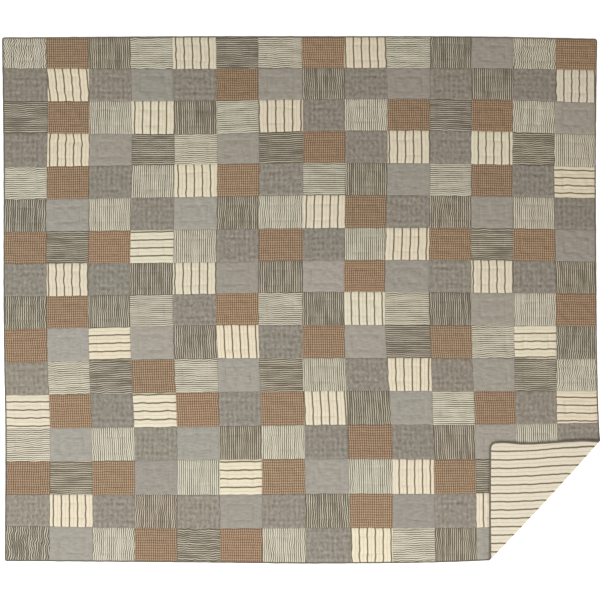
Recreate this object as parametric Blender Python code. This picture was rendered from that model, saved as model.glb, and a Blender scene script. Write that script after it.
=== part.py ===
# Patchwork quilt for a wide bed, lying face up with its lower right corner folded over.
# Z is up, X runs to the quilt's right and Y to its head. The origin is on the surface that
# the quilt lies on, under the middle of the laid quilt. Sizes are in millimetres up to the
# last step, which turns them into metres.
import math

import bmesh
import bpy
from mathutils import Vector

METRES_PER_MM = 0.001

# Patchwork
PATCHES_ACROSS = 14
PATCHES_DOWN = 16
PATCH_WIDTH = 191.0
PATCH_HEIGHT = 148.0

# The layers, from the surface up
LAYER_GAP = 0.3
BACKING_THICKNESS = 1.0
TOP_UNDERSIDE = BACKING_THICKNESS + LAYER_GAP
SEAM_HEIGHT = 4.6

# Binding, a folded strip that closes over the quilt's edge
BINDING_WIDTH = 6.0
BINDING_CLOTH = 1.0
BINDING_ROUNDING = 0.8
BINDING_TOP = SEAM_HEIGHT + LAYER_GAP + BINDING_CLOTH
MITRE_GAP = 0.25

# The strip's end face in three parts, by corners of its outline: lower leg, side, upper leg
BINDING_END_PARTS = ((0, 1, 7, 8, 9), (1, 2, 6, 7), (2, 3, 4, 5, 6))

# How far the layers stop short of the quilt's outline
TOP_EDGE_INSET = BINDING_CLOTH + LAYER_GAP
BACKING_INSET = BINDING_WIDTH + LAYER_GAP
PATCHWORK_INSET = BINDING_WIDTH + 2.0 * LAYER_GAP

# Quilting of one patch, from its seam to its middle: a padded border, a stitched
# rectangle and a padded middle
PATCH_QUILTING = (
    # inset from the seam, height above the surface
    (15.0, 6.7),
    (31.0, 5.3),
    (54.0, 7.3),
)
CROWN_UNEVENNESS = 0.4

# Where each upright seam stands, in mm from the quilt's left, at five rows of patches
UPRIGHT_SEAM_STATIONS = (0, 4, 8, 12, 16)
UPRIGHT_SEAMS = (
    # head, upper quarter, middle, lower quarter, foot
    (0, 7, 7, 15, 13),
    (200, 202, 202, 217, 214),
    (389, 393, 389, 404, 410),
    (577, 585, 575, 595, 599),
    (768, 776, 769, 788, 789),
    (963, 968, 964, 978, 983),
    (1153, 1159, 1153, 1168, 1172),
    (1350, 1355, 1354, 1360, 1369),
    (1539, 1545, 1541, 1555, 1572),
    (1731, 1735, 1723, 1755, 1759),
    (1928, 1927, 1921, 1940, 1951),
    (2111, 2111, 2112, 2129, 2137),
    (2302, 2297, 2302, 2312, 2333),
    (2491, 2484, 2493, 2498, 2529),
    (2678, 2672, 2675, 2682, 2724),
)

# Where each level seam lies, in mm down from the head, at five columns of patches
LEVEL_SEAM_STATIONS = (0.5, 4.5, 7.5, 11, 14)
LEVEL_SEAMS = (
    # left, left middle, middle, right middle, right
    (5, 0, 0, 1, 11),
    (145, 147, 143, 144, 153),
    (293, 291, 284, 283, 300),
    (437, 440, 426, 427, 444),
    (588, 577, 570, 575, 588),
    (735, 723, 715, 719, 729),
    (880, 870, 863, 863, 871),
    (1023, 1018, 1008, 1007, 1015),
    (1171, 1160, 1150, 1154, 1157),
    (1317, 1301, 1299, 1301, 1305),
    (1467, 1450, 1448, 1448, 1451),
    (1615, 1602, 1596, 1596, 1595),
    (1764, 1756, 1748, 1747, 1738),
    (1913, 1906, 1901, 1903, 1882),
    (2062, 2063, 2058, 2056, 2024),
    (2204, 2215, 2211, 2210, 2169),
    (2362, 2368, 2373, 2361, 2312),
)

# The folded corner: the fold's outer line runs from the foot to the right side
FOLD_AT_FOOT = Vector((2189.0, -2361.0))
FOLD_AT_SIDE = Vector((2689.0, -1821.0))
FOLD_CENTRE_HEIGHT = 10.6
FOLD_NEUTRAL_RADIUS = 6.9
FOLD_STEPS = 8

# How the flap comes down behind the fold until it lies just over the patchwork
FLAP_DROPS = (
    # distance behind the fold, drop
    (0.0, 0.0),
    (60.0, 2.2),
    (140.0, 3.4),
    (300.0, 3.8),
)

# Colour, roughness
FINISHES = {
    "patchwork": ((0.33, 0.28, 0.21), 0.92),
    "backing_ticking": ((0.76, 0.70, 0.55), 0.90),
    "binding_cloth": ((0.14, 0.125, 0.105), 0.93),
}


def read_table(stations, values, at):
    """The value at a place between a table's stations, on a smooth curve through them."""
    if at <= stations[0]:
        return values[0]
    for index in range(len(stations) - 1):
        if at <= stations[index + 1]:
            break
    else:
        return values[-1]
    before = max(index - 1, 0)
    after = min(index + 2, len(stations) - 1)
    span = stations[index + 1] - stations[index]
    share = (at - stations[index]) / span
    slope_in = (values[index + 1] - values[before]) / (stations[index + 1] - stations[before])
    slope_out = (values[after] - values[index]) / (stations[after] - stations[index])
    square, cube = share ** 2, share ** 3
    return (
        (2 * cube - 3 * square + 1) * values[index]
        + (cube - 2 * square + share) * span * slope_in
        + (3 * square - 2 * cube) * values[index + 1]
        + (cube - square) * span * slope_out
    )


def lay(across, down, height):
    """A point of the unfolded quilt, from its place counted in patches and its height."""
    column = min(max(int(across), 0), PATCHES_ACROSS - 1)
    row = min(max(int(down), 0), PATCHES_DOWN - 1)
    left = read_table(UPRIGHT_SEAM_STATIONS, UPRIGHT_SEAMS[column], down)
    right = read_table(UPRIGHT_SEAM_STATIONS, UPRIGHT_SEAMS[column + 1], down)
    upper = read_table(LEVEL_SEAM_STATIONS, LEVEL_SEAMS[row], across)
    lower = read_table(LEVEL_SEAM_STATIONS, LEVEL_SEAMS[row + 1], across)
    x = left + (right - left) * (across - column)
    y = upper + (lower - upper) * (down - row)
    return Vector((x, -y, height))


def seam_lines(count, patch_size, *insets):
    """Places of the lines along one direction: the insets at both ends, the seams between."""
    starts = [inset / patch_size for inset in insets]
    ends = [count - start for start in reversed(starts)]
    return starts + list(range(1, count)) + ends


def patch_face(bm, corners, left, right, upper, lower, unevenness):
    """Raise one patch of the face between its four seam corners, loop by loop."""
    outer = corners
    for inset, height in PATCH_QUILTING:
        width_inset = inset / PATCH_WIDTH
        height_inset = inset / PATCH_HEIGHT
        lift = unevenness * inset / PATCH_QUILTING[-1][0]
        places = (
            (left + width_inset, upper + height_inset),
            (left + width_inset, lower - height_inset),
            (right - width_inset, lower - height_inset),
            (right - width_inset, upper + height_inset),
        )
        inner = [bm.verts.new(lay(across, down, height + lift)) for across, down in places]
        for side in range(4):
            following = (side + 1) % 4
            bm.faces.new((outer[side], outer[following], inner[following], inner[side]))
        outer = inner
    bm.faces.new(outer)


def layer(columns, rows, underside, face, patch_cells):
    """A closed layer over a net of lines, with raised patches in the cells that ask for it."""
    bm = bmesh.new()
    nets = []
    for height in (underside, face):
        nets.append([[bm.verts.new(lay(u, v, height)) for v in rows] for u in columns])
    low, high = nets
    for i in range(len(columns) - 1):
        for j in range(len(rows) - 1):
            bm.faces.new((low[i][j], low[i + 1][j], low[i + 1][j + 1], low[i][j + 1]))
            corners = (high[i][j], high[i][j + 1], high[i + 1][j + 1], high[i + 1][j])
            if patch_cells and 0 < i < len(columns) - 2 and 0 < j < len(rows) - 2:
                unevenness = CROWN_UNEVENNESS * math.sin(2.3 * i + 4.1 * j)
                patch_face(bm, corners, columns[i], columns[i + 1], rows[j], rows[j + 1],
                           unevenness)
            else:
                bm.faces.new(corners)
    rim = [(i, 0) for i in range(len(columns))]
    rim += [(len(columns) - 1, j) for j in range(1, len(rows))]
    rim += [(i, len(rows) - 1) for i in range(len(columns) - 2, -1, -1)]
    rim += [(0, j) for j in range(len(rows) - 2, 0, -1)]
    for (i, j), (k, m) in zip(rim, rim[1:] + rim[:1]):
        bm.faces.new((low[i][j], high[i][j], high[k][m], low[k][m]))
    return bm


def binding_section():
    """Outline of the folded strip, as inset from the quilt's outline and height."""
    return (
        (BINDING_ROUNDING, 0.0),
        (0.0, BINDING_ROUNDING),
        (0.0, BINDING_TOP - BINDING_ROUNDING),
        (BINDING_ROUNDING, BINDING_TOP),
        (BINDING_WIDTH, BINDING_TOP),
        (BINDING_WIDTH, BINDING_TOP - BINDING_CLOTH),
        (BINDING_CLOTH, BINDING_TOP - BINDING_CLOTH),
        (BINDING_CLOTH, BACKING_THICKNESS),
        (BINDING_WIDTH, BACKING_THICKNESS),
        (BINDING_WIDTH, 0.0),
    )


def binding_strip(side):
    """One side's strip, mitred at both ends."""
    level = side in ("head", "foot")
    count, own_size, cross_size = (
        (PATCHES_ACROSS, PATCH_WIDTH, PATCH_HEIGHT) if level
        else (PATCHES_DOWN, PATCH_HEIGHT, PATCH_WIDTH)
    )
    bm = bmesh.new()
    rings = []
    for station in range(count + 1):
        ring = []
        for inset, height in binding_section():
            mitre = (inset + MITRE_GAP) / own_size
            along = min(max(station, mitre), count - mitre)
            inward = inset / cross_size
            if side in ("foot", "right"):
                inward = (PATCHES_DOWN if level else PATCHES_ACROSS) - inward
            place = (along, inward) if level else (inward, along)
            ring.append(bm.verts.new(lay(*place, height)))
        rings.append(ring)
    corners = len(rings[0])
    for ring, following in zip(rings, rings[1:]):
        for corner in range(corners):
            after = (corner + 1) % corners
            bm.faces.new((ring[corner], ring[after], following[after], following[corner]))
    for ring in (rings[0], rings[-1]):
        for end_part in BINDING_END_PARTS:
            bm.faces.new([ring[corner] for corner in end_part])
    return bm


def fold_normal():
    """Level direction from the quilt towards its folded corner, square to the fold."""
    along = (FOLD_AT_SIDE - FOLD_AT_FOOT).normalized()
    return Vector((along.y, -along.x, 0.0))


def past_fold(point):
    """Length of cloth from the line where the fold starts to turn up to a point."""
    return (point - FOLD_AT_FOOT.to_3d()).dot(fold_normal()) + FOLD_CENTRE_HEIGHT


def flap_drop(distance):
    for (near, drop), (far, next_drop) in zip(FLAP_DROPS, FLAP_DROPS[1:]):
        if distance <= far:
            return drop + (next_drop - drop) * (distance - near) / (far - near)
    return FLAP_DROPS[-1][1]


def folded(point):
    """The place of a point once the corner is folded over."""
    length = past_fold(point)
    if length <= 0.0:
        return point
    radius = FOLD_CENTRE_HEIGHT - point.z
    turn = length / FOLD_NEUTRAL_RADIUS
    if turn < math.pi:
        across = radius * math.sin(turn)
        height = FOLD_CENTRE_HEIGHT - radius * math.cos(turn)
    else:
        distance = length - math.pi * FOLD_NEUTRAL_RADIUS
        across = -distance
        height = FOLD_CENTRE_HEIGHT + radius - flap_drop(distance)
    place = point + fold_normal() * (across - length)
    place.z = height
    return place


def fold_corner(bm):
    """Cut the mesh along the fold's steps, then turn the corner over."""
    bmesh.ops.triangulate(bm, faces=bm.faces[:])
    turn_length = math.pi * FOLD_NEUTRAL_RADIUS
    steps = [turn_length * step / FOLD_STEPS for step in range(FOLD_STEPS + 1)]
    steps += [turn_length + distance for distance, _ in FLAP_DROPS[1:]]
    start = FOLD_AT_FOOT.to_3d() - fold_normal() * FOLD_CENTRE_HEIGHT
    for length in steps:
        bmesh.ops.bisect_plane(
            bm,
            geom=bm.verts[:] + bm.edges[:] + bm.faces[:],
            dist=0.001,
            plane_co=start + fold_normal() * length,
            plane_no=fold_normal(),
        )
    for vert in bm.verts:
        vert.co = folded(vert.co)
    bmesh.ops.triangulate(bm, faces=bm.faces[:])
    bmesh.ops.recalc_face_normals(bm, faces=bm.faces[:])


def finish_material(name):
    colour, roughness = FINISHES[name]
    material = bpy.data.materials.new(name)
    material.use_nodes = True
    shader = material.node_tree.nodes["Principled BSDF"]
    shader.inputs["Base Color"].default_value = (*colour, 1.0)
    shader.inputs["Roughness"].default_value = roughness
    shader.inputs["Metallic"].default_value = 0.0
    return material


def under_middle(pieces):
    """The point of the surface under the middle of all pieces."""
    points = [vert.co for bm, _ in pieces.values() for vert in bm.verts]
    lowest = [min(point[axis] for point in points) for axis in range(3)]
    highest = [max(point[axis] for point in points) for axis in range(2)]
    return Vector((
        (lowest[0] + highest[0]) / 2.0,
        (lowest[1] + highest[1]) / 2.0,
        lowest[2],
    ))


def build_quilt():
    """All pieces of the quilt, each a closed mesh with its material's name."""
    top = layer(
        seam_lines(PATCHES_ACROSS, PATCH_WIDTH, TOP_EDGE_INSET, PATCHWORK_INSET),
        seam_lines(PATCHES_DOWN, PATCH_HEIGHT, TOP_EDGE_INSET, PATCHWORK_INSET),
        TOP_UNDERSIDE, SEAM_HEIGHT, patch_cells=True,
    )
    backing = layer(
        seam_lines(PATCHES_ACROSS, PATCH_WIDTH, BACKING_INSET),
        seam_lines(PATCHES_DOWN, PATCH_HEIGHT, BACKING_INSET),
        0.0, BACKING_THICKNESS, patch_cells=False,
    )
    pieces = {
        "quilt_top": (top, "patchwork"),
        "backing": (backing, "backing_ticking"),
    }
    for side in ("head", "foot", "left", "right"):
        pieces["binding_" + side] = (binding_strip(side), "binding_cloth")
    return pieces


def main():
    for old in list(bpy.data.objects):
        bpy.data.objects.remove(old)
    pieces = build_quilt()
    for bm, _ in pieces.values():
        fold_corner(bm)
    origin = under_middle(pieces)
    materials = {name: finish_material(name) for name in FINISHES}
    for name, (bm, finish) in pieces.items():
        for vert in bm.verts:
            vert.co = (vert.co - origin) * METRES_PER_MM
        mesh = bpy.data.meshes.new(name)
        bm.to_mesh(mesh)
        bm.free()
        mesh.materials.append(materials[finish])
        mesh.shade_smooth()
        mesh.set_sharp_from_angle(angle=math.radians(40.0))
        bpy.context.scene.collection.objects.link(bpy.data.objects.new(name, mesh))


main()
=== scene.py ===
# Patchwork quilt for a wide bed, laid face up with its lower right corner folded over.
# Metres, Z up; X runs to the quilt's right and Y to its head.
import math

import bpy
import numpy as np
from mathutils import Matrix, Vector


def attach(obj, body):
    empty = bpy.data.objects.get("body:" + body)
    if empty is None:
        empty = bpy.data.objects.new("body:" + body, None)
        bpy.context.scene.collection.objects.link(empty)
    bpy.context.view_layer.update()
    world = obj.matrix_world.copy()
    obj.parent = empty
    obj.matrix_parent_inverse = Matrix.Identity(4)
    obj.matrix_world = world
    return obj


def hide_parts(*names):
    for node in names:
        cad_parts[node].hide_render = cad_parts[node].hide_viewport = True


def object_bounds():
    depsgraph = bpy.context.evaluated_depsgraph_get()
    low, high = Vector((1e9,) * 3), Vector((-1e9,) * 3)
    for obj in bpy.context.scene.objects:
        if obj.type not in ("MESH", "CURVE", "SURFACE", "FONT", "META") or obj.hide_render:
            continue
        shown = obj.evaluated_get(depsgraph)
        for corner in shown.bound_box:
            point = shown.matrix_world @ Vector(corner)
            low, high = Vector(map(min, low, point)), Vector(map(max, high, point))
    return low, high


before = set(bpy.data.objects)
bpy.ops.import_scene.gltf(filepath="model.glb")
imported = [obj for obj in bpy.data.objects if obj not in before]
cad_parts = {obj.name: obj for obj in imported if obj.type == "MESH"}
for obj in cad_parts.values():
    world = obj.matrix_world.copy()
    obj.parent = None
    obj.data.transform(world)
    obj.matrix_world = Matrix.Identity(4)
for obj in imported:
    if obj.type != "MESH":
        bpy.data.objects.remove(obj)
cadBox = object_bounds()
mm = 0.001

seams = {
    "patchesAcross": 14,
    "patchesDown": 16,
    "patchWidth": 191 * mm,
    "patchHeight": 148 * mm,
    "uprightRows": (0, 2, 4, 8, 10, 12, 16),
    # mm from the quilt's left at each of those rows, from its head to its foot
    "upright": (
        (0, 4, 7, 7, 10, 15, 13),
        (198, 207, 203, 202, 206, 217, 214),
        (389, 394, 393, 389, 393, 404, 410),
        (577, 584, 585, 575, 581, 595, 599),
        (766, 773, 777, 769, 775, 788, 789),
        (963, 968, 969, 964, 970, 978, 983),
        (1153, 1154, 1159, 1153, 1158, 1168, 1172),
        (1348, 1354, 1355, 1353, 1353, 1360, 1369),
        (1539, 1542, 1545, 1540, 1543, 1555, 1572),
        (1730, 1734, 1734, 1723, 1732, 1755, 1759),
        (1928, 1926, 1927, 1921, 1930, 1940, 1951),
        (2114, 2113, 2111, 2112, 2116, 2129, 2137),
        (2302, 2299, 2297, 2302, 2306, 2312, 2333),
        (2493, 2490, 2484, 2493, 2494, 2498, 2529),
        (2678, 2674, 2672, 2675, 2678, 2686, 2724),
    ),
    "levelColumns": (0.5, 4.5, 7.5, 11, 14),
    # mm down from the head: left, left middle, middle, right middle, right
    "level": (
        (5, 0, 0, 1, 11),
        (145, 147, 143, 144, 153),
        (293, 291, 284, 283, 300),
        (437, 440, 426, 427, 444),
        (588, 577, 570, 575, 588),
        (735, 723, 715, 719, 729),
        (880, 870, 863, 863, 871),
        (1023, 1018, 1008, 1007, 1015),
        (1171, 1160, 1150, 1154, 1157),
        (1317, 1301, 1299, 1301, 1305),
        (1467, 1450, 1448, 1448, 1451),
        (1615, 1602, 1596, 1596, 1595),
        (1764, 1756, 1748, 1747, 1738),
        (1913, 1906, 1901, 1903, 1882),
        (2062, 2063, 2058, 2056, 2024),
        (2204, 2215, 2211, 2210, 2169),
        (2362, 2368, 2373, 2361, 2317),
    ),
    # radius of each outer corner, by its place in patches
    "corners": (
        (0, 0, 9 * mm),
        (14, 0, 14 * mm),
        (0, 16, 9 * mm),
        (14, 16, 28 * mm),
    ),
    "wander": 0.5 * mm,
    "edgeWander": 0.2 * mm,
    "wanderLengths": (57 * mm, 88 * mm, 139 * mm),
    "wanderSeed": 3,
    "mostSeams": 20,  # more than there are either way
    # the folded corner's upper edge isn't straight: mm from the foot, and mm that it lies further out
    "cornerEdge": (
        (0, 0), (67, 1.5), (148, -5.5), (246, -3.5), (304, 1), (362, 4.5), (425, 7), (470, 4), (520, 0),
    ),
    "cornerEdgeReach": 30 * mm,
}

fold = {
    "atFoot": (2189 * mm, -2361 * mm),
    "atSide": (2689 * mm, -1821 * mm),
    "centreHeight": 10.6 * mm,
    "neutralRadius": 6.9 * mm,
    "steps": 12,
    # distance behind the fold, how far the flap has come down
    "drops": ((0, 0), (60 * mm, 2.2 * mm), (140 * mm, 3.4 * mm), (300 * mm, 3.8 * mm)),
    "bow": 5 * mm,  # how far its middle curves out
    "bowReach": 110 * mm,
    "edgeDrop": 2.6 * mm,  # its edges lie lower
    "edgeReach": 16 * mm,
}


# Places on the quilt

def readSeam(stations, table, seam, at):
    # how far each seam lies at a place along it, on a smooth curve through its table
    stations = np.array(stations, float)
    table = np.array(table, float) * mm
    at = np.clip(at, stations[0], stations[-1])
    here = np.clip(np.searchsorted(stations, at) - 1, 0, len(stations) - 2)
    before = np.maximum(here - 1, 0)
    after = np.minimum(here + 2, len(stations) - 1)
    span = stations[here + 1] - stations[here]
    share = (at - stations[here]) / span
    slopeIn = (table[seam, here + 1] - table[seam, before]) / (stations[here + 1] - stations[before])
    slopeOut = (table[seam, after] - table[seam, here]) / (stations[after] - stations[here])
    square, cube = share ** 2, share ** 3
    return (
        (2 * cube - 3 * square + 1) * table[seam, here]
        + (cube - 2 * square + share) * span * slopeIn
        + (3 * square - 2 * cube) * table[seam, here + 1]
        + (cube - square) * span * slopeOut
    )


wholePatches = np.arange(seams["patchesAcross"] + 1)
headLine = readSeam(seams["levelColumns"], seams["level"], 0, wholePatches)
headLeft = (
    cadBox[0][0] - min(seams["upright"][0]) * mm,
    cadBox[1][1] + headLine.min(),
)
seamStarts = np.random.default_rng(seams["wanderSeed"]).random(
    (2, len(seams["wanderLengths"]), seams["mostSeams"])
)


def wander(level, seam, place):
    # small waves of a seam along its length; level is 0 for upright seams and 1 for level ones
    total = 0
    for length, starts in zip(seams["wanderLengths"], seamStarts[level]):
        total = total + np.sin(2 * math.pi * (place / length + starts[seam]))
    outer = (seam == 0) | (seam == (seams["patchesDown"] if level else seams["patchesAcross"]))
    return np.where(outer, seams["edgeWander"], seams["wander"]) * total


def readCurve(points, at):
    # a smooth curve through a list of points, both numbers of each in mm
    places, values = zip(*points)
    return readSeam(places, (values,), 0, at / mm)


def cornerEdge(across, down):
    # how far the right edge is drawn out beside the folded corner
    fromRight = (seams["patchesAcross"] - across) * seams["patchWidth"]
    fromFoot = (seams["patchesDown"] - down) * seams["patchHeight"]
    share = np.exp(-((fromRight / seams["cornerEdgeReach"]) ** 2))
    return share * readCurve(seams["cornerEdge"], fromFoot)


def roundCorners(across, down):
    # the quilt's outer corners are a little round
    for column, row, radius in seams["corners"]:
        sideWay = 1 if column else -1
        footWay = 1 if row else -1
        pastX = radius - (column - across) * sideWay * seams["patchWidth"]
        pastY = radius - (row - down) * footWay * seams["patchHeight"]
        inside = (pastX > 0) & (pastY > 0)
        spoke = np.maximum(np.hypot(pastX, pastY), 1e-9)
        shrink = np.where(inside, np.maximum(pastX, pastY) / spoke, 1)
        across = across + np.where(inside, pastX * (shrink - 1) * sideWay / seams["patchWidth"], 0)
        down = down + np.where(inside, pastY * (shrink - 1) * footWay / seams["patchHeight"], 0)
    return across, down


def lay(across, down, height):
    # points of the unfolded quilt, from their places counted in patches and their heights
    across, down = roundCorners(across, down)
    column = np.clip(np.floor(across).astype(int), 0, seams["patchesAcross"] - 1)
    row = np.clip(np.floor(down).astype(int), 0, seams["patchesDown"] - 1)
    left, right = (
        readSeam(seams["uprightRows"], seams["upright"], column + side, down)
        + wander(0, column + side, down * seams["patchHeight"])
        for side in (0, 1)
    )
    upper, lower = (
        readSeam(seams["levelColumns"], seams["level"], row + side, across)
        + wander(1, row + side, across * seams["patchWidth"])
        for side in (0, 1)
    )
    x = headLeft[0] + left + (right - left) * (across - column) + cornerEdge(across, down)
    y = headLeft[1] - upper - (lower - upper) * (down - row)
    return np.stack([x, y, np.broadcast_to(height, x.shape)], axis=1)


foldFoot = np.array(fold["atFoot"]) + headLeft
foldSide = np.array(fold["atSide"]) + headLeft
foldLength = np.linalg.norm(foldSide - foldFoot)
foldLine = (foldSide - foldFoot) / foldLength
foldWay = np.array((foldLine[1], -foldLine[0]))
turnLength = math.pi * fold["neutralRadius"]


def pastFold(points):
    # length of cloth from where the fold starts to turn
    return (points[:, :2] - foldFoot) @ foldWay + fold["centreHeight"]


flapCorner = lay(np.array([seams["patchesAcross"]]), np.array([seams["patchesDown"]]), 0)[0, :2]


def edgeDistance(points):
    # distance of unfolded points from the flap's two edges
    distances = []
    for start in (foldFoot, foldSide):
        edge = (flapCorner - start) / np.linalg.norm(flapCorner - start)
        distances.append(abs((points[:, :2] - start) @ np.array((edge[1], -edge[0]))))
    return np.minimum(*distances)


def folded(points):
    # unfolded points, turned over the fold where they reach past it
    length = pastFold(points)
    radius = fold["centreHeight"] - points[:, 2]
    turn = np.clip(length / fold["neutralRadius"], 0, math.pi)
    behind = np.maximum(length - turnLength, 0)
    distances, drops = zip(*fold["drops"])
    across = radius * np.sin(turn) - behind
    height = fold["centreHeight"] - radius * np.cos(turn) - np.interp(behind, distances, drops)
    low = np.exp(-edgeDistance(points) / fold["edgeReach"]) * np.clip(behind / distances[1], 0, 1)
    height -= fold["edgeDrop"] * low
    moved = points.copy()
    past = length > 0
    moved[past, :2] += np.outer((across - length)[past], foldWay)
    moved[past, 2] = height[past]
    return moved


def bowed(points):
    # the fold isn't quite straight: cloth near its middle lies further out
    share = np.clip((points[:, :2] - foldFoot) @ foldLine / foldLength, 0, 1)
    apart = (points[:, :2] - foldFoot) @ foldWay / fold["bowReach"]
    moved = points.copy()
    moved[:, :2] += np.outer(fold["bow"] * 4 * share * (1 - share) * np.exp(-(apart ** 2)), foldWay)
    return moved


# Modelling helpers

smoothAngle = math.radians(50)
sameDistance = 0.01 * mm  # points nearer than this are one point


def startMesh(name, add, **settings):
    # a new primitive, alone in the selection
    bpy.ops.object.select_all(action="DESELECT")
    add(**settings)
    piece = bpy.context.object
    piece.name = piece.data.name = name
    return piece


def editing(piece, steps):
    bpy.ops.object.select_all(action="DESELECT")
    piece.select_set(True)
    bpy.context.view_layer.objects.active = piece
    bpy.ops.object.mode_set(mode="EDIT")
    steps()
    bpy.ops.object.mode_set(mode="OBJECT")


def vertexPlaces(piece):
    # one row of X, Y and Z for each vertex
    places = np.empty(len(piece.data.vertices) * 3)
    piece.data.vertices.foreach_get("co", places)
    return places.reshape(-1, 3)


def placeVertices(piece, places):
    piece.data.vertices.foreach_set("co", places.ravel())
    piece.data.update()


def setMap(piece, name, places):
    # a UV map from one place for each vertex
    corners = np.empty(len(piece.data.loops), int)
    piece.data.loops.foreach_get("vertex_index", corners)
    layer = piece.data.uv_layers.get(name) or piece.data.uv_layers.new(name=name)
    layer.uv.foreach_set("vector", places[corners].ravel())


def setValue(piece, name, values):
    # an attribute from one value for each vertex, or one for all
    layer = piece.data.attributes.new(name, "FLOAT", "POINT")
    layer.data.foreach_set("value", np.broadcast_to(values, len(piece.data.vertices)).astype(float))


def cutAt(piece, lengths, **clearing):
    # cuts beside the fold, at lengths of cloth past its start
    def cut():
        for length in lengths:
            start = foldFoot + foldWay * (length - fold["centreHeight"])
            bpy.ops.mesh.select_all(action="SELECT")
            bpy.ops.mesh.bisect(
                plane_co=(*start, 0),
                plane_no=(*foldWay, 0),
                threshold=sameDistance,
                **clearing,
            )

    editing(piece, cut)


def turnCorner(piece):
    # folds what reaches past the fold, and bows what lies near it
    if pastFold(vertexPlaces(piece)).max() > 0:
        cutAt(piece, [turnLength * step / fold["steps"] for step in range(fold["steps"] + 1)])
        placeVertices(piece, folded(vertexPlaces(piece)))
    placeVertices(piece, bowed(vertexPlaces(piece)))


def applyModifier(piece, kind, **settings):
    bpy.ops.object.select_all(action="DESELECT")
    piece.select_set(True)
    bpy.context.view_layer.objects.active = piece
    modifier = piece.modifiers.new(kind.title(), kind)
    for name, value in settings.items():
        setattr(modifier, name, value)
    bpy.ops.object.modifier_apply(modifier=modifier.name)


def ripples(along, lengths, random):
    # uneven waves along a line of stitches, from -1 to 1
    waves = [np.sin(2 * math.pi * (along / length + random.random())) for length in lengths]
    return sum(waves) / len(lengths)


# Patches

quilting = {
    "seamHalf": 0.15 * mm,
    "edgeInset": 1.3 * mm,
    "bindingInset": 6.3 * mm,
    "underside": 1.3 * mm,
    "seamHeight": 4.6 * mm,
    "padding": 2.4 * mm,
    "seamRoll": 5.0 * mm,
    "stitchInset": 39 * mm,
    "stitchShift": 4.0 * mm,
    "stitchTilt": 0.03,
    "stitchDepth": 2.8 * mm,
    "stitchRoll": 4.4 * mm,
    # how the rectangle's depth varies over a patch: mean, change, least and most, and lengths of waves
    "stitchMean": 0.95,
    "stitchVary": 0.8,
    "stitchUneven": (0.2, 1.6),
    "stitchLengths": (110 * mm, 170 * mm, 230 * mm),
    "crown": 0.7 * mm,
    "crownRoll": 26 * mm,
    "puckerDepth": 0.8 * mm,
    "puckerLengths": (13 * mm, 19 * mm, 31 * mm),
    "puckerReach": 13 * mm,
    "puckerStart": 3 * mm,
    "crumpleSlope": 0.050,
    "crumpleLengths": (13, 15, 17, 20, 23, 27, 32, 38, 46, 56, 70),  # mm
    "deepest": 0.4 * mm,  # below the seams
    "edgeLines": (0, 1.2 * mm, 3.2 * mm, 6.5 * mm),
    "cellsAcross": 46,
    "cellsDown": 35,
    "firstSeed": 1000,
    "fill": 0.4,
}

# Cloths: T ticking, P pale stripe, D dark stripe, K rust check, G light grey, H dark grey;
# in a small letter the stripes run across the quilt
patchChart = """
PKDpTdpKTpDGPK
HTHGHKGDHGHDHT
dKPTDpTHPKdKPG
HTGdpGdKHTHTdP
pKHPTKHpDGpKHt
DGPHGDPTKHDGPH
KdKtPHKHPTKdKG
HTHDTGDGKGHTHD
DKDpHKpDTpDGPK
KGtGDTHKGdKptD
HpdKpGdPHTHGdP
tKHtKHKTDGpKHt
pGPHGDPHKHDGPH
KdKGPtKGPTKdKG
HTHDHGHDKGHTHD
DGPKdKPHTpDGPK
""".split()

# Where the first dark stripe of a ticking patch lies, mm in from its left or upper seam
firstStripes = {
    (0, 4): 15, (0, 8): 6, (1, 1): 5, (1, 13): 2, (2, 3): 13, (2, 6): 2, (3, 1): 12, (3, 9): 8,
    (3, 11): 32, (4, 4): 17, (4, 13): 19, (5, 7): 15, (6, 3): 8, (6, 9): 35, (7, 1): 8, (7, 4): 9,
    (7, 11): 8, (8, 8): 33, (9, 2): 36, (9, 5): 34, (9, 12): 34, (10, 9): 34, (11, 0): 30,
    (11, 3): 7, (11, 7): 4, (11, 13): 30, (13, 5): 9, (13, 9): 29, (14, 1): 16, (14, 11): 31,
    (15, 8): 3,
}
tickingPitch = 36 * mm
stripeAt = 0.5  # a dark stripe lies half way along each pitch of the cloth map

patchCloth = {
    "slant": 0.012,
    "slantMost": 0.03,
    "slantOf": {(1, 1): 0.085, (10, 9): -0.04},
    "sway": 3.6 * mm,
    "swayLengths": (52 * mm, 83 * mm, 140 * mm),
    "swayLean": 0.35,
    # how much the stripes waver: inner patches, patches at the quilt's edge, and some by name
    "waverInside": (0.12, 0.5),
    "waverOutside": (0.25, 0.7),
    "waverOf": {
        (0, 0): 1.3, (0, 12): 1.0, (10, 13): 0.9, (15, 0): 1.1, (1, 1): 0.6, (3, 1): 0.7, (5, 7): 0.1,
        (6, 9): 0.2, (7, 1): 0.5, (8, 8): 0.15, (9, 5): 0.15, (11, 7): 0.15,
    },
    "sideDepth": 4 * mm,  # cloth that goes down a patch's sides
    # each patch is cut from its own place in the cloth: metres along, and pitches across
    "cutAlong": 5,
    "cutAcross": 20,
    # how much patches of one cloth differ in tone, in warmth and in green
    "toneSpread": {"T": 0.02, "P": 0.033, "D": 0.03, "K": 0.03, "G": 0.05, "H": 0.02},
    "tintSpread": 0.01,
    "greenSpread": 0.014,
    # how deep the quilting is sewn
    "sewn": {"T": 0.7, "P": 0.9, "D": 1.0, "K": 1.1, "G": 1.2, "H": 1.35},
}


def gridLines(size, cells):
    # line places over a patch, closer together beside its seams
    near = np.array(quilting["edgeLines"])
    middle = np.linspace(near[-1], size - near[-1], cells - 2 * (len(near) - 1) + 1)
    return np.concatenate([near[:-1], middle, size - near[-2::-1]])


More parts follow.
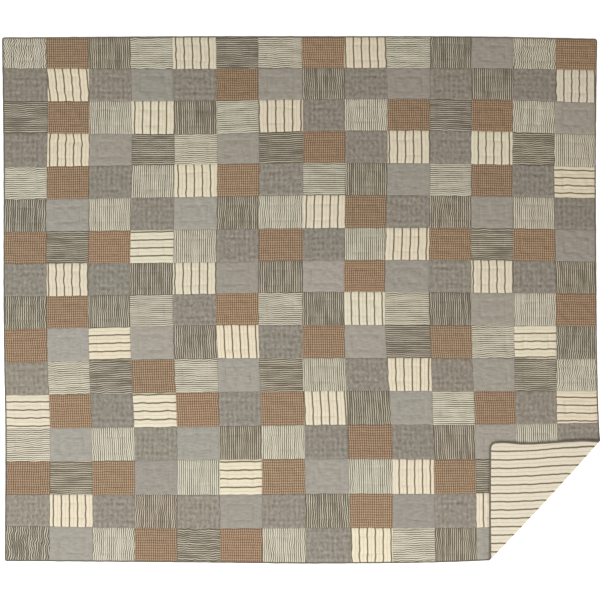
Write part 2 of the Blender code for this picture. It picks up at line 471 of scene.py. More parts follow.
def makeBlank(name, flatBelow):
    # one unsewn patch, a unit block with a gridded face
    blank = startMesh(
        name,
        bpy.ops.mesh.primitive_grid_add,
        x_subdivisions=quilting["cellsAcross"],
        y_subdivisions=quilting["cellsDown"],
        size=1,
    )

    def thicken():
        bpy.ops.mesh.select_all(action="SELECT")
        bpy.ops.mesh.extrude_region_move(TRANSFORM_OT_translate={"value": (0, 0, 1)})
        bpy.ops.mesh.select_all(action="SELECT")
        bpy.ops.mesh.normals_make_consistent(inside=False)

    editing(blank, thicken)
    if flatBelow:
        for part in (*blank.data.edges, *blank.data.vertices):
            part.select = False
        for face in blank.data.polygons:
            face.select = face.normal.z < -0.5
        blank.data.update()
        dissolveUnderside(blank)
    bpy.ops.object.shade_smooth_by_angle(angle=smoothAngle)
    return blank


def dissolveUnderside(blank):
    def dissolve():
        bpy.ops.mesh.select_mode(type="FACE")
        bpy.ops.mesh.dissolve_faces()

    editing(blank, dissolve)


def stitchedRectangle(x, y, random):
    # places seen from the middle of the patch's stitched rectangle, which sits a little off
    tilt = random.uniform(-1, 1) * quilting["stitchTilt"]
    shiftX, shiftY = random.uniform(-1, 1, 2) * quilting["stitchShift"]
    return np.stack([x - shiftX + tilt * y, y - shiftY - tilt * x], axis=1)


def rectangleDistance(places):
    # how far inside the stitched rectangle a place is, below 0 outside it
    halfX = seams["patchWidth"] / 2 - quilting["stitchInset"]
    halfY = seams["patchHeight"] / 2 - quilting["stitchInset"]
    return np.minimum(halfX - abs(places[:, 0]), halfY - abs(places[:, 1]))


def patchFace(x, y, fromSeams, stitched, sewn, random):
    # heights of a patch's quilted face
    nearX, nearY = fromSeams
    roll = (1 - np.exp(-nearX / quilting["seamRoll"])) * (1 - np.exp(-nearY / quilting["seamRoll"]))
    inside = rectangleDistance(stitched)
    fromStitch = abs(inside)
    own = random.spawn(1)[0]
    uneven = ripples(x + y, quilting["stitchLengths"], own)
    uneven = uneven + ripples(x - y, quilting["stitchLengths"], own)
    depth = np.clip(quilting["stitchMean"] + quilting["stitchVary"] * uneven, *quilting["stitchUneven"])
    trough = np.exp(-((fromStitch / quilting["stitchRoll"]) ** 2)) * depth
    crown = np.clip(inside / quilting["crownRoll"], 0, 1)
    crown = crown * crown * (3 - 2 * crown)
    height = quilting["seamHeight"] + quilting["padding"] * roll
    height += quilting["crown"] * crown - quilting["stitchDepth"] * sewn * trough

    # puckers stand square to each line of sewing and die out away from it
    onSide = abs(stitched[:, 0]) * seams["patchHeight"] > abs(stitched[:, 1]) * seams["patchWidth"]
    for distance, level in ((fromStitch, onSide), (nearX, True), (nearY, False)):
        along = np.where(level, y, x)
        rise = ripples(along, quilting["puckerLengths"], random)
        rise *= np.exp(-distance / quilting["puckerReach"])
        rise *= 1 - np.exp(-((distance / quilting["puckerStart"]) ** 2))
        height += quilting["puckerDepth"] * sewn * rise * roll
    for length in quilting["crumpleLengths"]:
        heading = random.uniform(0, 2 * math.pi)
        turns = (x * math.cos(heading) + y * math.sin(heading)) / (length * mm) + random.random()
        size = quilting["crumpleSlope"] * sewn * length * mm / (2 * math.pi)
        height += size * np.sin(2 * math.pi * turns) * roll
    return np.maximum(height, quilting["seamHeight"] - quilting["deepest"])


def patchInsets(column, row):
    # how far a patch's left, right, upper and lower edges stop short of their seams,
    # and how far in the binding reaches there
    outer = (
        column == 0,
        column == seams["patchesAcross"] - 1,
        row == 0,
        row == seams["patchesDown"] - 1,
    )
    edges = [quilting["edgeInset"] if side else quilting["seamHalf"] for side in outer]
    bound = [quilting["bindingInset"] if side else 0 for side in outer]
    return edges, bound


def cutCloth(column, row, middle, starts, top, random):
    # the cloth map: metres, with stripes along Y and a little askew, going on down the patch's sides;
    # and how much the stripes waver
    letter = patchChart[row][column]
    turned = letter.islower()
    cross, along = reversed(middle) if turned else middle
    fromStart = starts[turned]
    first = firstStripes.get((row, column))
    start = random.uniform(0, 1) if first is None else stripeAt - first * mm / tickingPitch
    slant = random.normal(0, patchCloth["slant"])
    slant = np.clip(slant, -patchCloth["slantMost"], patchCloth["slantMost"])
    slant = patchCloth["slantOf"].get((row, column), slant)
    outer = row in (0, seams["patchesDown"] - 1) or column in (0, seams["patchesAcross"] - 1)
    waver = random.uniform(*patchCloth["waverOutside" if outer else "waverInside"])
    waver = patchCloth["waverOf"].get((row, column), waver)
    sway = ripples(along + patchCloth["swayLean"] * cross, patchCloth["swayLengths"], random)
    sway = patchCloth["sway"] * waver * sway
    sink = np.where(top, 0, patchCloth["sideDepth"])
    across = fromStart + start * tickingPitch + slant * along + sway + sink * np.sign(cross)
    down = along + sink * np.sign(along) + random.uniform(-patchCloth["cutAlong"], patchCloth["cutAlong"])
    if letter.upper() in "GHK":
        across += random.integers(-patchCloth["cutAcross"], patchCloth["cutAcross"]) * tickingPitch
    return np.stack([across, down], axis=1), waver


def sewPatch(blank, column, row):
    # a copy of the blank, laid between its seams with its face quilted
    random = np.random.default_rng(quilting["firstSeed"] + seams["mostSeams"] * row + column)
    letter = patchChart[row][column].upper()
    patch = blank.copy()
    patch.data = blank.data.copy()
    patch.name = patch.data.name = f"patch_{row + 1}_{column + 1}"
    bpy.context.collection.objects.link(patch)

    unit = vertexPlaces(patch)
    top = unit[:, 2] > 0.5
    width, height = seams["patchWidth"], seams["patchHeight"]
    lineAcross = np.rint((unit[:, 0] + 0.5) * quilting["cellsAcross"]).astype(int)
    lineDown = np.rint((0.5 - unit[:, 1]) * quilting["cellsDown"]).astype(int)
    edges, bound = patchInsets(column, row)
    shareAcross = gridLines(width, quilting["cellsAcross"])[lineAcross] / width
    shareDown = gridLines(height, quilting["cellsDown"])[lineDown] / height
    fromLeft = edges[0] + shareAcross * (width - edges[0] - edges[1])
    fromUpper = edges[2] + shareDown * (height - edges[2] - edges[3])
    x = fromLeft - width / 2
    y = height / 2 - fromUpper
    nearX = np.minimum(fromLeft - bound[0], width - fromLeft - bound[1])
    nearY = np.minimum(fromUpper - bound[2], height - fromUpper - bound[3])
    nearX, nearY = np.maximum(nearX, 0), np.maximum(nearY, 0)

    stitched = stitchedRectangle(x, y, random)
    face = patchFace(x, y, (nearX, nearY), stitched, patchCloth["sewn"][letter], random)
    heights = np.where(top, face, quilting["underside"])
    placeVertices(patch, lay(column + fromLeft / width, row + fromUpper / height, heights))

    clothMap, waver = cutCloth(column, row, (x, y), (fromLeft, fromUpper), top, random)
    setMap(patch, "cloth", clothMap)
    setMap(patch, "stitches", stitched)
    setValue(patch, "seam", np.minimum(nearX, nearY))
    setValue(patch, "tone", 1 + random.normal(0, patchCloth["toneSpread"][letter]))
    setValue(patch, "tint", random.normal(0, patchCloth["tintSpread"]))
    setValue(patch, "green", random.uniform(-1, 1) * patchCloth["greenSpread"])
    setValue(patch, "sway", waver)
    turnCorner(patch)
    return patch


def reachesFold(column, row):
    # whether a corner of this patch lies past the start of the fold
    corners = lay(
        np.array([column, column + 1, column, column + 1]), np.array([row, row, row + 1, row + 1]), 0
    )
    return pastFold(corners).max() > 0


# Backing: ticking, with its stripes along the quilt

backing = {
    "thickness": 1.0 * mm,
    "inset": 7.7 * mm,
    "cell": 6 * mm,
    "laidCell": 60 * mm,
    "cornerFrom": (10.5, 11.5),
    "cutBefore": 70 * mm,
    "cornerSides": (0.62, 0.66),
    "seed": 7,
    # the quilting's dents in the folded corner
    "dent": 0.7 * mm,
    "dentReach": 30 * mm,  # behind the fold
    "stitchDent": 7 * mm,
    "seamDent": 6 * mm,
    "sewnShare": 0.7,
    "waveShare": 0.12,
    "waveLean": 0.3,
    "waveLengths": ((26 * mm, 44 * mm), (31 * mm, 52 * mm)),
    "level": 0.2,
    "sway": 4.0 * mm,
    "firstStripe": 37 * mm,  # in from the quilt's right edge
    "skew": 9 * mm,
    "skewReach": 110 * mm,
    # its stripes aren't straight: mm from the foot, and mm that they lie nearer to the quilt's right
    "lean": ((0, 0), (70, -1.5), (180, 1), (320, 9), (400, 11), (460, 14), (560, 15)),
}


def sheetGrid(name, across, down, cell):
    # a level net over part of the quilt, between two places each way
    piece = startMesh(
        name,
        bpy.ops.mesh.primitive_grid_add,
        x_subdivisions=round((across[1] - across[0]) * seams["patchWidth"] / cell),
        y_subdivisions=round((down[1] - down[0]) * seams["patchHeight"] / cell),
        size=1,
    )
    unit = vertexPlaces(piece)
    u = across[0] + (unit[:, 0] + 0.5) * (across[1] - across[0])
    v = down[0] + (0.5 - unit[:, 1]) * (down[1] - down[0])
    placeVertices(piece, lay(u, v, backing["thickness"] / 2))
    fromRight = (seams["patchesAcross"] - u) * seams["patchWidth"]
    fromFoot = (seams["patchesDown"] - v) * seams["patchHeight"]
    skew = backing["skew"] * (1 - np.exp(-fromRight / backing["skewReach"]))
    lean = readCurve(backing["lean"], fromFoot)
    clothX = fromRight - backing["firstStripe"] + tickingPitch * stripeAt - skew + lean
    clothMap = np.stack([clothX, fromFoot], axis=1)
    piece.data.uv_layers.remove(piece.data.uv_layers[0])
    setMap(piece, "cloth", clothMap)
    return piece, u, v


def cornerDents(u, v, random):
    # the quilting shows on the back as soft dents, which only the folded corner can have
    x = (u % 1 - 0.5) * seams["patchWidth"]
    y = (0.5 - v % 1) * seams["patchHeight"]
    stitch = rectangleDistance(np.stack([x, y], axis=1)) / backing["stitchDent"]
    seam = np.minimum(seams["patchWidth"] / 2 - abs(x), seams["patchHeight"] / 2 - abs(y))
    seam = seam / backing["seamDent"]
    sewn = np.maximum(np.exp(-(stitch ** 2)), np.exp(-(seam ** 2)))
    waves = ripples(x + y * backing["waveLean"], backing["waveLengths"][0], random)
    waves = waves + ripples(y, backing["waveLengths"][1], random)
    return np.clip(sewn * backing["sewnShare"] + waves * backing["waveShare"] + backing["level"], 0, 1)


def makeBacking():
    endAcross = seams["patchesAcross"] - backing["inset"] / seams["patchWidth"]
    endDown = seams["patchesDown"] - backing["inset"] / seams["patchHeight"]
    laid, _, _ = sheetGrid(
        "backing_laid",
        (backing["inset"] / seams["patchWidth"], endAcross),
        (backing["inset"] / seams["patchHeight"], endDown),
        backing["laidCell"],
    )
    cutAt(laid, [-backing["cutBefore"]], clear_outer=True)

    random = np.random.default_rng(backing["seed"])
    corner, u, v = sheetGrid(
        "backing_corner",
        (backing["cornerFrom"][0], endAcross),
        (backing["cornerFrom"][1], endDown),
        backing["cell"],
    )
    places = vertexPlaces(corner)
    raised = np.clip((pastFold(places) - turnLength) / backing["dentReach"], 0, 1)
    places[:, 2] += backing["dent"] * raised * cornerDents(u, v, random)
    placeVertices(corner, places)
    cutAt(corner, [-backing["cutBefore"]], clear_inner=True)
    for piece in (laid, corner):
        turnCorner(piece)
        applyModifier(piece, "SOLIDIFY", thickness=backing["thickness"], offset=0, use_even_offset=True)
        bpy.ops.object.shade_smooth_by_angle(angle=smoothAngle)
    return laid, corner


# Binding: a folded strip over each edge, mitred at the corners

binding = {
    "width": 6.0 * mm,
    "backWidth": 7.4 * mm,
    "cloth": 1.0 * mm,
    "top": 5.9 * mm,
    "rounding": 1.6 * mm,
    "roundSteps": 4,
    "flatFrom": 0.6,  # of its width
    "faceFrom": 0.7,  # of its height
    "mitreGap": 0.25 * mm,
    "stationEvery": 9 * mm,
    "wave": 0.35 * mm,
    "waveLengths": (23 * mm, 41 * mm, 67 * mm),
    "waveLag": 3,  # points of the net
    "seeds": {"head": 44, "foot": 44, "left": 4, "right": 5},
    # its cloth is worn lighter and darker, in patches so many to a metre
    "worn": (160, 40),
    "wornDetail": 2.0,
    "wear": 0.3,
}


def bindingSection():
    # middle line of the folded strip: inset from the quilt's edge and height
    low, high, near = binding["cloth"] / 2, binding["top"] - binding["cloth"] / 2, binding["cloth"] / 2
    flat = binding["width"] * binding["flatFrom"]
    points = [(binding["backWidth"], low), (flat, low)]
    for centreHeight, start in ((low + binding["rounding"], -90), (high - binding["rounding"], -180)):
        for step in range(binding["roundSteps"] + 1):
            angle = math.radians(start - 90 * step / binding["roundSteps"])
            inset = near + binding["rounding"] + binding["rounding"] * math.cos(angle)
            points.append((inset, centreHeight + binding["rounding"] * math.sin(angle)))
    points += [(flat, high), (binding["width"], high)]
    return np.array(points)


def bindStrip(side):
    # one side's strip, with its flat width and length
    level = side in ("head", "foot")
    count = seams["patchesAcross"] if level else seams["patchesDown"]
    ownSize = seams["patchWidth"] if level else seams["patchHeight"]
    crossSize = seams["patchHeight"] if level else seams["patchWidth"]
    section = bindingSection()
    stations = round(count * ownSize / binding["stationEvery"])
    strip = startMesh(
        "edge_" + side,
        bpy.ops.mesh.primitive_grid_add,
        x_subdivisions=stations,
        y_subdivisions=len(section) - 1,
        size=1,
    )
    unit = vertexPlaces(strip)
    sectionPoint = np.rint((unit[:, 1] + 0.5) * (len(section) - 1)).astype(int)
    inset, height = section[sectionPoint].T
    share = unit[:, 0] + 0.5
    random = np.random.default_rng(binding["seeds"][side])
    wave = binding["wave"] * ripples(share * count * ownSize, binding["waveLengths"], random)
    inner = inset + wave * (inset > binding["width"] / 2)
    onFace = height > binding["top"] * binding["faceFrom"]
    height = height + np.where(onFace, np.roll(wave, binding["waveLag"]) / 2, 0)
    mitre = (inner + binding["mitreGap"]) / ownSize
    along = np.clip(share * count, mitre, count - mitre)
    inward = inner / crossSize
    if side in ("foot", "right"):
        inward = (seams["patchesDown"] if level else seams["patchesAcross"]) - inward
    place = (along, inward) if level else (inward, along)
    placeVertices(strip, lay(*place, height))
    sectionLength = np.concatenate([[0], np.cumsum(np.linalg.norm(np.diff(section, axis=0), axis=1))])
    strip.data.uv_layers.remove(strip.data.uv_layers[0])
    setMap(strip, "cloth", np.stack([sectionLength[sectionPoint], along * ownSize], axis=1))

    def faceOut():
        bpy.ops.mesh.select_all(action="SELECT")
        bpy.ops.mesh.remove_doubles(threshold=sameDistance)
        bpy.ops.mesh.normals_make_consistent(inside=False)

    editing(strip, faceOut)
    turnCorner(strip)
    applyModifier(strip, "SOLIDIFY", thickness=binding["cloth"], offset=0, use_even_offset=False)
    bpy.ops.object.shade_smooth_by_angle(angle=smoothAngle)
    return strip, sectionLength[-1], count * ownSize


# Materials

class Wire:
    # a socket in a material, so that shader maths reads as plain sums
    def __init__(self, tree, socket=None):
        self.tree = tree
        self.socket = socket

    def node(self, kind, settings=None, values=None, output=0):
        made = self.tree.nodes.new("ShaderNode" + kind)
        for name, value in (settings or {}).items():
            setattr(made, name, value)
        for name, value in (values or {}).items():
            if isinstance(value, Wire):
                self.tree.links.new(value.socket, made.inputs[name])
            elif made.inputs[name].type == "RGBA":
                made.inputs[name].default_value = (*value, 1.0)
            else:
                made.inputs[name].default_value = value
        return Wire(self.tree, made.outputs[output])

    def output(self, index):
        return Wire(self.tree, self.socket.node.outputs[index])

    def math(self, operation, first, second=0.0):
        return self.node("Math", {"operation": operation}, {0: first, 1: second})

    def __add__(self, other):
        return self.math("ADD", self, other)

    __radd__ = __add__

    def __sub__(self, other):
        return self.math("SUBTRACT", self, other)

    def __rsub__(self, other):
        return self.math("SUBTRACT", other, self)

    def __mul__(self, other):
        return self.math("MULTIPLY", self, other)

    __rmul__ = __mul__

    def __truediv__(self, other):
        return self.math("DIVIDE", self, other)

    def __rtruediv__(self, other):
        return self.math("DIVIDE", other, self)

    def __abs__(self):
        return self.math("ABSOLUTE", self)

    def above(self, other):
        return self.math("MAXIMUM", self, other)

    def wave(self):
        # up and down once for each whole number, from 0 to 1
        return self.math("COSINE", self * (2 * math.pi)) * -0.5 + 0.5

    def step(self, low, high):
        return self.node(
            "MapRange", {"interpolation_type": "SMOOTHSTEP"}, {0: self, 1: low, 2: high, 3: 0.0, 4: 1.0}
        )

    def noise(self, places, scale, detail=1.0):
        # uneven value from 0 to 1 over a map, with its own scale each way
        stretched = self.node("VectorMath", {"operation": "MULTIPLY"}, {0: places, 1: (*scale, 1.0)})
        return self.node(
            "TexNoise",
            {"noise_dimensions": "2D"},
            {"Vector": stretched, "Scale": 1.0, "Detail": detail, "Roughness": 0.6},
        )

    def mix(self, mask, first, second):
        return self.node("Mix", {"data_type": "RGBA"}, {0: mask, 6: first, 7: second}, 2)

    def shade(self, colour, amount):
        # a colour made lighter or darker
        return self.node("VectorMath", {"operation": "SCALE"}, {0: colour, "Scale": amount})


def paint(red, green, blue):
    # a colour as it shows on screen, from 0 to 255
    shares = [value / 255 for value in (red, green, blue)]
    return tuple(
        share / 12.92 if share < 0.04045 else ((share + 0.055) / 1.055) ** 2.4 for share in shares
    )


clothLook = {
    "roughness": 0.9,
    "slubRoughness": 0.08,
    "sheen": 0.12,
    "sheenRoughness": 0.5,
    "specular": 0.25,
    # how often each changes in a metre, each way of the cloth
    "threads": (1500, 90),
    "slubs": (260, 14),
    "wrinkles": (70, 55),
    "wrinkleDetail": 2.5,
    "drift": (26, 44),
    "driftDetail": 1.5,
    # where the shade painted in the stitched ditch shows, and where it breaks off
    "shadeBreaks": (18, 18),
    "shadeBreakEdges": (0.3, 0.7),
    # how much each lightens the cloth; the wrinkles' share is painted shade, lighter on their crests and
    # darker in their hollows
    "threadLight": 0.12,
    "slubLight": 0.10,
    "wrinklePaintedShade": 0.10,
    "leastLight": 0.73,
    "threadDepth": 0.25 * mm,
    "wrinkleDepth": 0.9 * mm,
    "bumpStrength": 0.5,
    "seamShade": 0.24,
    "seamShadeWidth": 2.2 * mm,
    "stitchPitch": 4.4 * mm,
    "stitchEdges": (0.27 * mm, 0.585 * mm),
    "stitchGap": (0.25, 0.45),
    "stitchTurn": 0.1 * mm,  # at the rectangle's corners
    "stitchThread": paint(168, 158, 138),
    "stitchCover": 0.6,
    "stitchRise": 0.2,
    # how dark the painted shade in the stitched ditch is, darker on the plain cloths, and its half width
    "stitchShade": 0.13,
    "plainStitchShade": 0.24,
    "stitchShadeHalf": 2.2 * mm,
}

colours = {
    "tickingGround": paint(232, 220, 194),
    "backingGround": paint(231, 220, 197),
    "tickingStripe": paint(96, 84, 60),
    "paleGround": paint(220, 212, 191),
    "paleLine": paint(102, 95, 77),
    "darkGround": paint(97, 89, 75),
    "darkLine": paint(208, 198, 177),
    "checkGround": paint(192, 163, 133),
    "checkLine": paint(106, 81, 57),
    "lightGrey": paint(170, 162, 148),
    "lightGreyThread": paint(154, 148, 139),
    "darkGrey": paint(170, 161, 147),
    "darkGreyThread": paint(104, 98, 88),
    "bindingCloth": paint(114, 105, 92),
}


def newCloth(name):
    # an empty material with one shader, and a first wire in its nodes
    material = bpy.data.materials.new(name)
    material.use_nodes = True
    shader = material.node_tree.nodes["Principled BSDF"]
    shader.inputs["Roughness"].default_value = clothLook["roughness"]
    shader.inputs["Sheen Weight"].default_value = clothLook["sheen"]
    shader.inputs["Sheen Roughness"].default_value = clothLook["sheenRoughness"]
    shader.inputs["Specular IOR Level"].default_value = clothLook["specular"]
    return material, Wire(material.node_tree)


def clothPlaces(wire, sway, drift=clothLook["drift"]):
    # the cloth map as a vector and as X and Y, with the stripes' sway in X
    cloth = wire.node("UVMap", {"uv_map": "cloth"})
    apart = wire.node("SeparateXYZ", {}, {0: cloth})
    drifting = wire.noise(cloth, drift, clothLook["driftDetail"]) - 0.5
    return cloth, apart + drifting * sway, apart.output(1)


def patchValue(wire, name):
    return wire.node("Attribute", {"attribute_name": name}, {}, 2)


def finishCloth(material, wire, cloth, colour, quilted=True, plain=False):
    # threads, wrinkles with the shade painted in their hollows, seam shade and stitches, common to all
    # the cloths
    look = clothLook
    threads = wire.noise(cloth, look["threads"]) + wire.noise(cloth, look["threads"][::-1])
    slubs = wire.noise(cloth, look["slubs"]) + wire.noise(cloth, look["slubs"][::-1])
    wrinkles = wire.noise(cloth, look["wrinkles"], look["wrinkleDetail"])
    light = threads * look["threadLight"] + slubs * look["slubLight"]
    # painted shade: the cloth is lighter on the wrinkles' crests and darker in their hollows, following
    # the bump
    light = light + wrinkles * look["wrinklePaintedShade"] + look["leastLight"]
    height = threads * (look["threadDepth"] / look["wrinkleDepth"]) + wrinkles
    if quilted:
        stitches, ditch = stitchMarks(wire)
        # painted shade in the stitched ditch, broken here and there, and painted shade beside the seams
        shadeBreaks = wire.noise(cloth, look["shadeBreaks"]).step(*look["shadeBreakEdges"])
        ditchShade = look["plainStitchShade" if plain else "stitchShade"]
        seamShade = 1 - patchValue(wire, "seam").step(0.0, look["seamShadeWidth"])
        light = light * patchValue(wire, "tone") * (1 - seamShade * look["seamShade"])
        light = light * (1 - ditch * shadeBreaks * ditchShade)
        colour = wire.mix(stitches * look["stitchCover"], colour, look["stitchThread"])
        height = height + stitches * look["stitchRise"]
        tint, green = patchValue(wire, "tint"), patchValue(wire, "green")
        tinting = wire.node("CombineXYZ", {}, {0: tint + 1, 1: green + 1, 2: 1 - tint})
        colour = wire.node("VectorMath", {"operation": "MULTIPLY"}, {0: colour, 1: tinting})
    bump = wire.node(
        "Bump", {}, {"Height": height, "Distance": look["wrinkleDepth"], "Strength": look["bumpStrength"]}
    )
    roughness = slubs * look["slubRoughness"] + (look["roughness"] - look["slubRoughness"])
    shader = material.node_tree.nodes["Principled BSDF"]
    links = material.node_tree.links
    links.new(wire.shade(colour, light).socket, shader.inputs["Base Color"])
    links.new(bump.socket, shader.inputs["Normal"])
    links.new(roughness.socket, shader.inputs["Roughness"])
    return material


def stitchMarks(wire):
    # dashes of thread round the stitched rectangle, and a mask for the shade painted in the ditch that
    # they lie in
    look = clothLook
    halfX = seams["patchWidth"] / 2 - quilting["stitchInset"]
    halfY = seams["patchHeight"] / 2 - quilting["stitchInset"]
    x = wire.node("SeparateXYZ", {}, {0: wire.node("UVMap", {"uv_map": "stitches"})})
    y = x.output(1)
    pastX, pastY = abs(x) - halfX, abs(y) - halfY
    apart = abs(pastX.above(pastY))
    line = 1 - apart.step(*look["stitchEdges"])
    ditch = 1 - apart.step(0.0, look["stitchShadeHalf"])
    onSide = (pastX - pastY).step(-look["stitchTurn"], look["stitchTurn"])
    along = x + onSide * (y - x)
    return line * (along / look["stitchPitch"]).wave().step(*look["stitchGap"]), ditch


tickingLook = {
    "drift": (9, 22),
    "sway": 6 * mm,
    "stripeEdges": (0.90, 0.95),
    "hairlineEdges": (0.95, 0.995),
    "hairline": 0.22,
    "faintStripes": 8,  # to a pitch
    "faintUneven": (120, 3),
    "faint": 0.07,
    "leastLight": 0.95,
    "worn": (500, 60),
    "wear": 0.2,
}


def tickingCloth(name, quilted):
    look = tickingLook
    material, wire = newCloth(name)
    sway = patchValue(wire, "sway") * look["sway"] if quilted else backing["sway"]
    cloth, x, _ = clothPlaces(wire, sway, look["drift"])
    across = (x / tickingPitch).wave()
    stripe = across.step(*look["stripeEdges"])
    hairline = (1 - across).step(*look["hairlineEdges"])
    faint = (x / (tickingPitch / look["faintStripes"])).wave() * 0.5
    faint = faint + wire.noise(cloth, look["faintUneven"])
    ground = colours["tickingGround" if quilted else "backingGround"]
    ground = wire.shade(ground, faint * look["faint"] + look["leastLight"])
    kept = 1 - wire.noise(cloth, look["worn"]) * look["wear"]
    colour = wire.mix((stripe + hairline * look["hairline"]) * kept, ground, colours["tickingStripe"])
    return finishCloth(material, wire, cloth, colour, quilted)


stripeLook = {
    "softness": 0.15,
    # how often lines fade, singly and in bands: for each line across, and for each metre along
    "singleAcross": 1,
    "singleAlong": 6,
    "bandAcross": 0.3,
    "bandAlong": 9,
    "bandShare": 0.4,
    "fadeEdges": (0.35, 0.75),
}


def fineStripe(name, pitch, ground, line, width, unevenness, sway):
    look = stripeLook
    material, wire = newCloth(name)
    cloth, x, _ = clothPlaces(wire, patchValue(wire, "sway") * sway)
    lines = (x / pitch).wave().step(1 - width - look["softness"], 1 - width + look["softness"])
    single = wire.noise(cloth, (look["singleAcross"] / pitch, look["singleAlong"]))
    band = wire.noise(cloth, (look["bandAcross"] / pitch, look["bandAlong"]))
    faded = (single * (1 - look["bandShare"]) + band * look["bandShare"]).step(*look["fadeEdges"])
    colour = wire.mix(lines * (1 - faded * unevenness), colours[ground], colours[line])
    return finishCloth(material, wire, cloth, colour)


checkLook = {
    "sway": 2 * mm,
    "edges": (0.3, 0.7),
    "crossed": 0.3,  # share of its shade that only crossings have
    # how the check clouds: waves across and down with their sizes, and specks
    "clouds": (22 * mm, 27 * mm),
    "cloudSizes": (0.7, 0.6),
    "specks": (80, 62),
    "speckDetail": 2.0,
    "speckSize": 5,
}


def smallCheck(name, pitches, ground, line, strengths, clouding, plain):
    # pitches and strengths of its upright and its level lines
    look = checkLook
    material, wire = newCloth(name)
    cloth, x, y = clothPlaces(wire, patchValue(wire, "sway") * look["sway"])
    upright = (x / pitches[0]).wave().step(*look["edges"]) * strengths[0]
    level = (y / pitches[1]).wave().step(*look["edges"]) * strengths[1]
    check = upright.above(level) * (1 - look["crossed"]) + upright * level * look["crossed"]
    clouds = ((x / look["clouds"][0]).wave() - 0.5) * look["cloudSizes"][0]
    clouds = clouds + ((y / look["clouds"][1]).wave() - 0.5) * look["cloudSizes"][1]
    clouds = clouds + (wire.noise(cloth, look["specks"], look["speckDetail"]) - 0.5) * look["speckSize"]
    colour = wire.shade(wire.mix(check, colours[ground], colours[line]), clouds * clouding + 1)
    return finishCloth(material, wire, cloth, colour, plain=plain)


greyLook = {
    "streaks": (35, 150),
    "streakEdges": (0.3, 0.75),
    "specks": (62, 50),
    "detail": 2.0,
    "speckSize": 0.1,
}


def chambray(name):
    look = greyLook
    material, wire = newCloth(name)
    cloth, _, _ = clothPlaces(wire, 0.0)
    streaks = wire.noise(cloth, look["streaks"], look["detail"]).step(*look["streakEdges"])
    colour = wire.mix(streaks, colours["lightGrey"], colours["lightGreyThread"])
    specks = (wire.noise(cloth, look["specks"], look["detail"]) - 0.5) * look["speckSize"]
    return finishCloth(material, wire, cloth, wire.shade(colour, specks + 1), plain=True)


def bindingFinish(name):
    material, wire = newCloth(name)
    cloth, _, _ = clothPlaces(wire, 0.0)
    worn = (wire.noise(cloth, binding["worn"], binding["wornDetail"]) - 0.5) * binding["wear"]
    colour = wire.shade(colours["bindingCloth"], worn + 1)
    return finishCloth(material, wire, cloth, colour, quilted=False)


# Camera, floor and lights

studio = {
    "cameraHeight": 8.0,
    "frameWidth": 2.7,
    "sensor": 36.0,
    "middle": (1341 * mm, -1186.6 * mm),  # from the quilt's upper left corner
    "floorSize": 40.0,
    "floorColour": (0.9, 0.9, 0.9, 1.0),
    "floorRoughness": 0.8,
    "floorGlow": 0.6,
    "floorDrop": 0.5 * mm,
    "skyStrength": 0.42,
    "skyColour": (1.085, 1.005, 0.912, 1.0),
    "lampSize": 3.0,
    # place, power and colour of each soft lamp
    "lamps": (
        ((1.1, -3.45, 3.4), 110.0, (0.963, 0.985, 1.042)),
        ((-3.4, -1.1, 3.4), 102.0, (0.883, 1.005, 1.097)),
    ),
}


def setCamera():
    middle = np.array(studio["middle"]) + headLeft
    bpy.ops.object.camera_add(location=(*middle, studio["cameraHeight"]), rotation=(0, 0, 0))
    camera = bpy.context.object
    camera.name = "camera"
    camera.data.sensor_width = studio["sensor"]
    camera.data.lens = studio["sensor"] * studio["cameraHeight"] / studio["frameWidth"]
    bpy.context.scene.camera = camera


def setRoom():
    floor = startMesh(
        "floor",
        bpy.ops.mesh.primitive_plane_add,
        size=studio["floorSize"],
        location=(0, 0, -studio["floorDrop"]),
    )
    material = bpy.data.materials.new("floor")
    material.use_nodes = True
    shader = material.node_tree.nodes["Principled BSDF"]
    shader.inputs["Base Color"].default_value = studio["floorColour"]
    shader.inputs["Roughness"].default_value = studio["floorRoughness"]
    shader.inputs["Emission Color"].default_value = (1, 1, 1, 1)
    shader.inputs["Emission Strength"].default_value = studio["floorGlow"]
    floor.data.materials.append(material)

    world = bpy.data.worlds.new("sky")
    bpy.context.scene.world = world
    world.use_nodes = True
    world.node_tree.nodes["Background"].inputs["Strength"].default_value = studio["skyStrength"]
    world.node_tree.nodes["Background"].inputs["Color"].default_value = studio["skyColour"]

    for place, power, colour in studio["lamps"]:
        bpy.ops.object.light_add(type="AREA", location=place)
        lamp = bpy.context.object
        lamp.data.size = studio["lampSize"]
        lamp.data.energy = power
        lamp.data.color = colour
        tilt = math.atan2(math.hypot(*place[:2]), place[2])
        lamp.rotation_euler = (tilt, 0, math.atan2(place[0], -place[1]))
    bpy.context.scene.view_settings.view_transform = "Standard"


# Putting the quilt together

def finishPiece(piece, material, node):
    # gives a piece its cloth, hides the solid it stands for and hangs the piece on the root body
    piece.data.materials.clear()
    piece.data.materials.append(material)
    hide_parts(node)
    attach(piece, "root")


setCamera()
setRoom()
print("camera, floor and lights set")

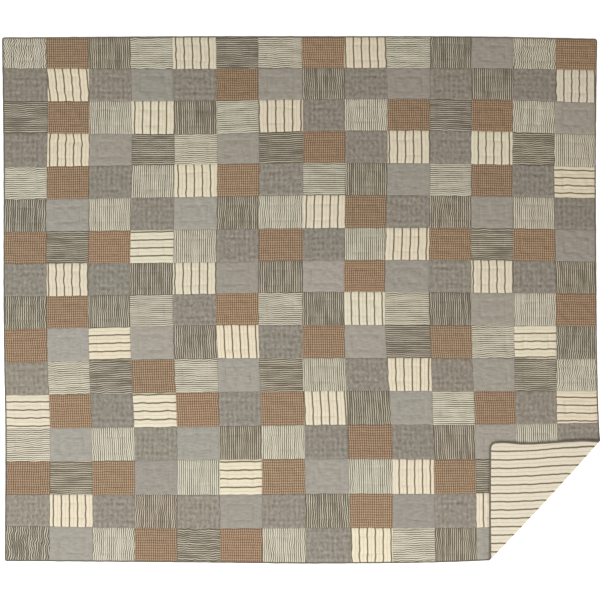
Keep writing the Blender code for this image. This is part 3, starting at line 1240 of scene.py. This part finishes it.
cloths = {
    "T": tickingCloth("ticking", quilted=True),
    "P": fineStripe(
        "pale_stripe",
        pitch=9.3 * mm,
        ground="paleGround",
        line="paleLine",
        width=0.48,
        unevenness=0.45,
        sway=12 * mm,
    ),
    "D": fineStripe(
        "dark_stripe",
        pitch=9.5 * mm,
        ground="darkGround",
        line="darkLine",
        width=0.37,
        unevenness=0.7,
        sway=11 * mm,
    ),
    "K": smallCheck(
        "rust_check",
        pitches=(9.6 * mm, 11.2 * mm),
        ground="checkGround",
        line="checkLine",
        strengths=(1.03, 0.77),
        clouding=0.06,
        plain=False,
    ),
    "G": chambray("light_grey"),
    "H": smallCheck(
        "dark_grey_check",
        pitches=(5.6 * mm, 5.6 * mm),
        ground="darkGrey",
        line="darkGreyThread",
        strengths=(0.75, 0.75),
        clouding=0.19,
        plain=True,
    ),
}
backingCloth = tickingCloth("backing_ticking_cloth", quilted=False)
bindingCloth = bindingFinish("binding_finish")
print("materials made")

laidBlank = makeBlank("laid_blank", True)
foldBlank = makeBlank("fold_blank", False)
for row in range(seams["patchesDown"]):
    for column in range(seams["patchesAcross"]):
        patch = sewPatch(foldBlank if reachesFold(column, row) else laidBlank, column, row)
        finishPiece(patch, cloths[patchChart[row][column].upper()], "quilt_top")
for blank in (laidBlank, foldBlank):
    bpy.data.objects.remove(blank)
print("patches sewn")

laid, corner = makeBacking()
quiltFlat = (
    seams["patchesAcross"] * seams["patchWidth"] - 2 * backing["inset"],
    seams["patchesDown"] * seams["patchHeight"] - 2 * backing["inset"],
)
cornerFlat = backing["cornerSides"]
cornerArea = cornerFlat[0] * cornerFlat[1] / 2
for piece, flat, area, held in (
    (laid, quiltFlat, quiltFlat[0] * quiltFlat[1] - cornerArea, "laid"),
    (corner, cornerFlat, cornerArea, "folded"),
):
    finishPiece(piece, backingCloth, "backing")
print("backing laid")

for side in ("head", "foot", "left", "right"):
    strip, width, length = bindStrip(side)
    finishPiece(strip, bindingCloth, "binding_" + side)
print("binding sewn on")
